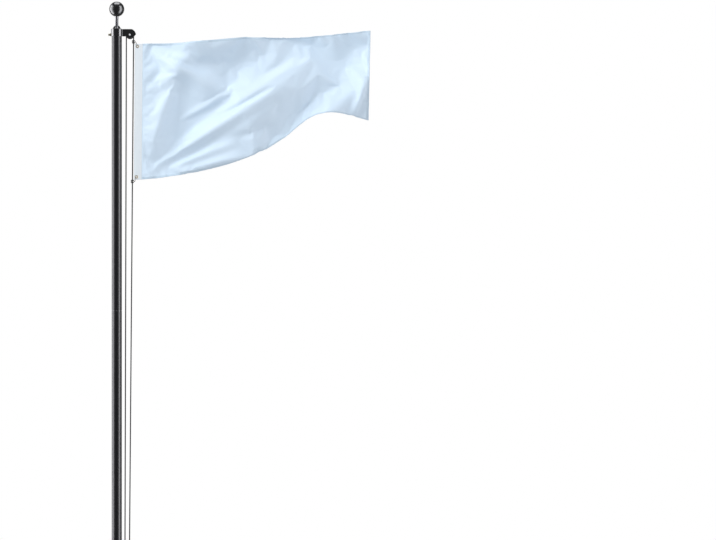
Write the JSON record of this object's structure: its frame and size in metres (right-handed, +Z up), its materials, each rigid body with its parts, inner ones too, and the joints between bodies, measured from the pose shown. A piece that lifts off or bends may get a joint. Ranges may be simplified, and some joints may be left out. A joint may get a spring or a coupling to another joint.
{
  "type": "flagpole",
  "caption": "Sectional black flagpole with ball finial, truck and sheave, taut halyard on a cleat, and a pale blue flag that slides along the line.",
  "frame": {"origin": "centre of the pole's foot at ground level", "axes": "+Z up along the pole, +X along the truck's arm and the flag, -Y towards the flag's front"},
  "size_m": [1.3104, 0.1156, 6.6824],
  "materials": {
    "pole_black": "satin",
    "truck_black": "gloss",
    "arm_black": "satin",
    "sheave_nylon": "matte",
    "axle_steel": "polished",
    "spindle_steel": "polished",
    "set_brass": "dull",
    "ball_black": "gloss",
    "rope_black": "braided",
    "cleat_black": "satin",
    "screw_steel": "bright",
    "flag_blue": "satin weave",
    "heading_white": "canvas",
    "grommet_brass": "bright",
    "snap_nickel": "bright nickel"
  },
  "bodies": {
    "root": {"tube_1": "pole_black", "tube_2": "pole_black", "tube_3": "pole_black", "tube_4": "pole_black", "tube_5": "pole_black", "truck_cap": "truck_black", "arm_cheek_front": "arm_black", "arm_cheek_back": "arm_black", "arm_root": "arm_black", "sheave_axle": "axle_steel", "axle_nut": "axle_steel", "truck_set_screw": "set_brass", "truck_lock_nut": "set_brass", "spindle": "spindle_steel", "ball_collar": "spindle_steel", "ball": "ball_black", "halyard_inner_line": "rope_black", "halyard_over_sheave": "rope_black", "halyard_outer_line": "rope_black", "halyard_round_turns": "rope_black", "cleat": "cleat_black", "cleat_screw_upper": "screw_steel", "cleat_screw_lower": "screw_steel"},
    "sheave": {"sheave": "sheave_nylon"},
    "flag": {"flag_cloth": "flag_blue", "flag_heading": "heading_white", "upper_grommet": "grommet_brass", "lower_grommet": "grommet_brass", "upper_snap": "snap_nickel", "lower_snap": "snap_nickel", "upper_snap_gate": "snap_nickel", "lower_snap_gate": "snap_nickel", "upper_knot": "rope_black", "lower_knot": "rope_black"}
  },
  "joints": [
    {"name": "flag_hoist", "type": "slide", "parent": "root", "child": "flag", "axis": [-0.0078, -0.0019, -1], "range_m": [0, 4.4]},
    {"name": "sheave_spin", "type": "hinge", "parent": "root", "child": "sheave", "pos_m": [0.066, 0, 6.5158], "axis": [0, 1, 0], "continuous": true}
  ],
  "couplings": [
    {"joint": "sheave_spin", "follows": "flag_hoist", "rad_per_m": 55.556}
  ]
}
